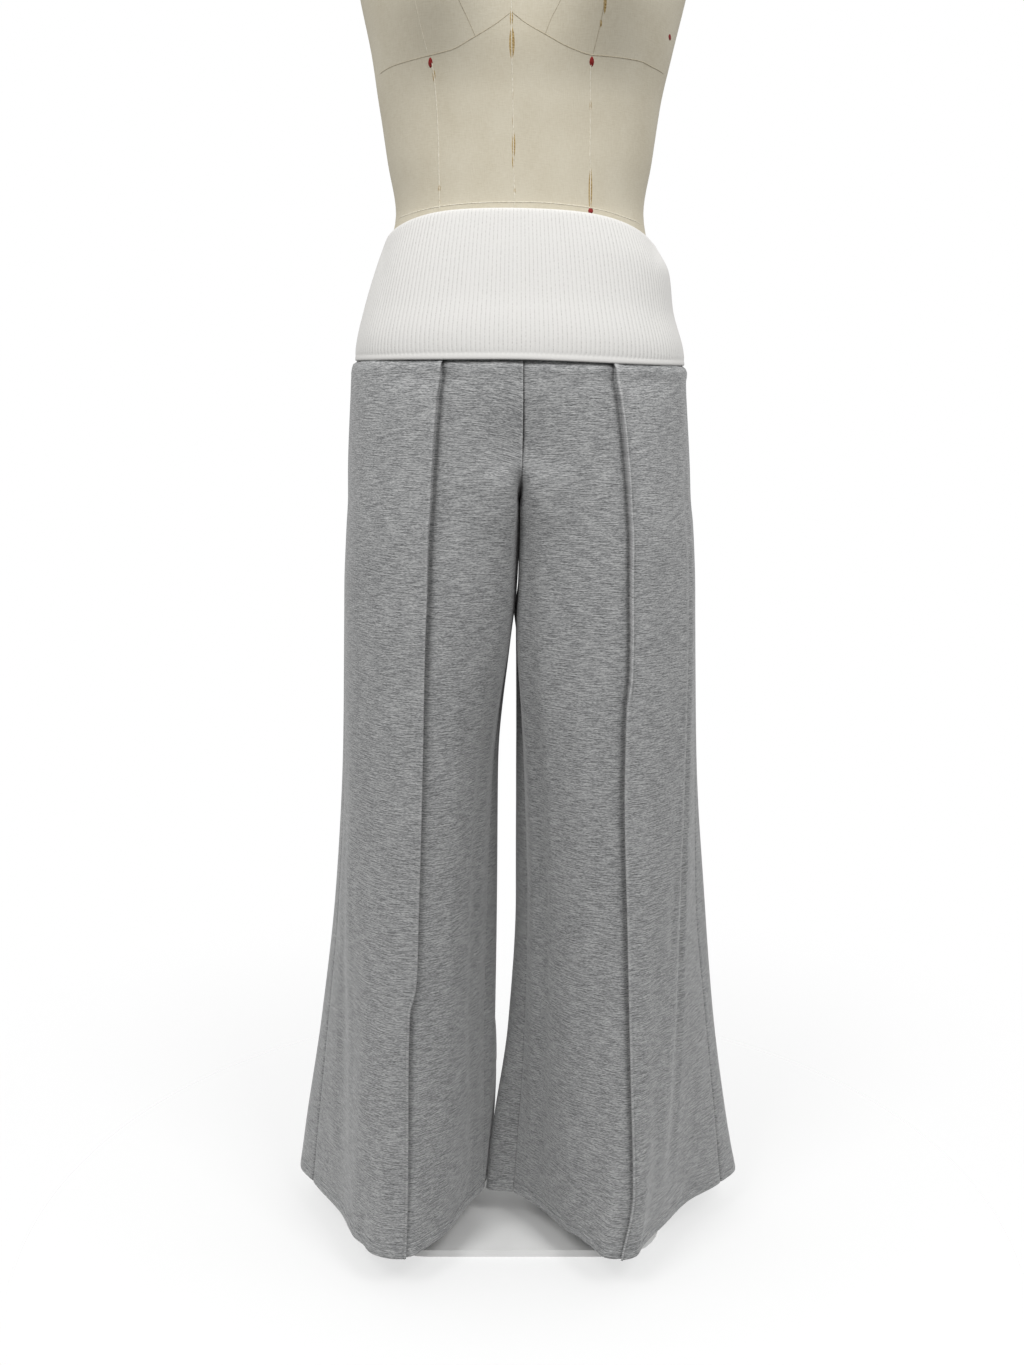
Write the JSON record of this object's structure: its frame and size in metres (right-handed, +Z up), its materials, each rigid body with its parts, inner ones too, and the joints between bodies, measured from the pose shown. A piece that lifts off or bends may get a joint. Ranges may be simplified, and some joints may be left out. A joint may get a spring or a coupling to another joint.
{
  "type": "lounge pants on a dress form",
  "caption": "Wide-leg knit lounge pants with stitched front tucks and a folded-over ribbed waistband, worn by a limbless dress form on a pole and base plate.",
  "frame": {"origin": "on the floor under the middle of the waist, in the underside of the base plate", "axes": "+Z up along the legs, -Y out of the front of the garment, +X to the wearer's left"},
  "size_m": [0.508, 0.3439, 1.56],
  "materials": {
    "heather_knit": "heather grey knit",
    "rib_knit": "white rib knit",
    "form_linen": "beige cover, stretched smooth",
    "stand_paint": "off-white powder coat"
  },
  "bodies": {
    "root": {"front_leg_left": "heather_knit", "front_leg_right": "heather_knit", "back_leg_left": "heather_knit", "back_leg_right": "heather_knit", "waistband": "rib_knit", "dress_form": "form_linen", "form_socket": "stand_paint", "pole": "stand_paint", "pole_flange": "stand_paint", "base_plate": "stand_paint"}
  },
  "joints": []
}
